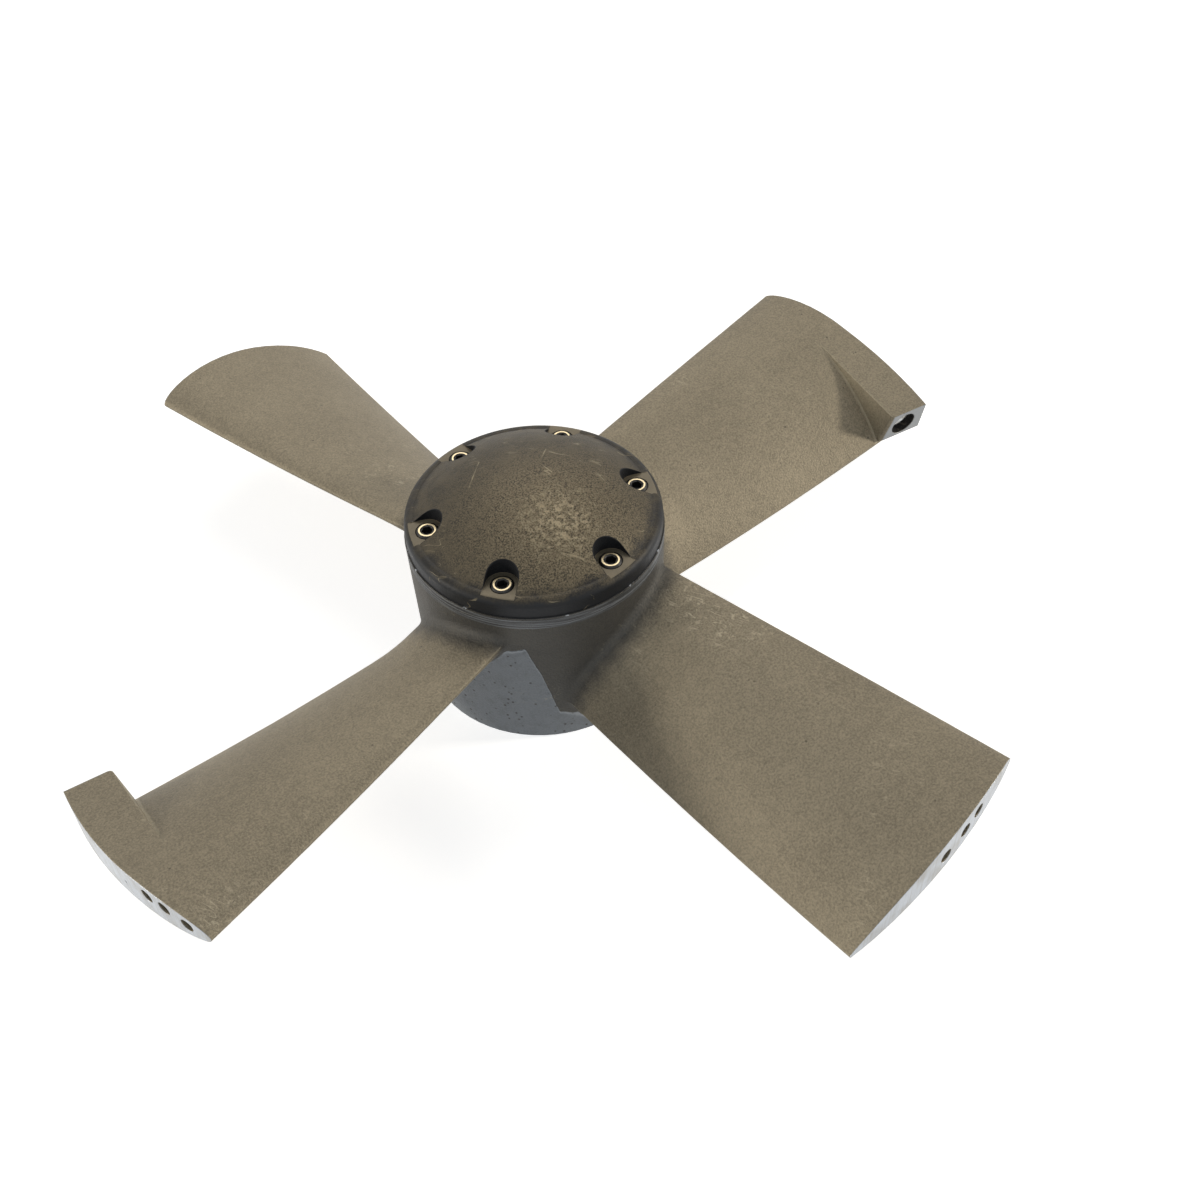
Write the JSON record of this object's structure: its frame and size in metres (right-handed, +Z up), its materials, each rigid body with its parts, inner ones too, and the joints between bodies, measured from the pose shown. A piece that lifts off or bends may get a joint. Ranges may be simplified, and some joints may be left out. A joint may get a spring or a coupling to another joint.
{
  "type": "compressed-air axial fan impeller",
  "caption": "Axial fan impeller: one-piece cast hub with twisted aerofoil blades, air nozzles on opposite tips, a domed screwed cover and ball bearings for a hollow spindle.",
  "frame": {"origin": "centre of the hub's flat bottom face", "axes": "+Z up along the axis of turning, towards the domed cover; +X out along the first nozzle blade"},
  "size_m": [0.6, 0.6, 0.1455],
  "materials": {
    "cast_aluminium": "as cast and blasted, with fine grain",
    "cover_aluminium": "as cast, darkened, worn lighter in the middle",
    "screw_steel": "turned head with a dark socket",
    "seal_rubber": "matt",
    "nozzle_steel": "turned",
    "spacer_steel": "turned",
    "spring_steel": "dark oiled",
    "bearing_steel": "ground",
    "ball_steel": "polished",
    "cage_brass": "machined",
    "shield_steel": "pressed sheet"
  },
  "bodies": {
    "impeller": {"impeller": "cast_aluminium", "hub_cover": "cover_aluminium", "cover_screws": "screw_steel", "cover_seal_ring": "seal_rubber", "first_nozzle": "nozzle_steel", "second_nozzle": "nozzle_steel", "outer_spacer": "spacer_steel", "retaining_ring": "spring_steel", "shaft_seal": "seal_rubber", "lower_bearing_outer_ring": "bearing_steel", "lower_bearing_shields": "shield_steel", "upper_bearing_outer_ring": "bearing_steel", "upper_bearing_shields": "shield_steel"},
    "inner_rings": {"lower_bearing_inner_ring": "bearing_steel", "upper_bearing_inner_ring": "bearing_steel", "inner_spacer": "spacer_steel"},
    "lower_ball_set": {"lower_bearing_balls": "ball_steel", "lower_bearing_cage": "cage_brass"},
    "upper_ball_set": {"upper_bearing_balls": "ball_steel", "upper_bearing_cage": "cage_brass"}
  },
  "joints": [
    {"name": "spindle_turn", "type": "hinge", "parent": "impeller", "child": "inner_rings", "pos_m": [0, 0, 0.041], "axis": [0, 0, 1], "continuous": true},
    {"name": "lower_cage_turn", "type": "hinge", "parent": "impeller", "child": "lower_ball_set", "pos_m": [0, 0, 0.02], "axis": [0, 0, 1], "continuous": true},
    {"name": "upper_cage_turn", "type": "hinge", "parent": "impeller", "child": "upper_ball_set", "pos_m": [0, 0, 0.062], "axis": [0, 0, 1], "continuous": true}
  ],
  "couplings": [
    {"joint": "lower_cage_turn", "follows": "spindle_turn", "ratio": 0.4},
    {"joint": "upper_cage_turn", "follows": "spindle_turn", "ratio": 0.4}
  ]
}
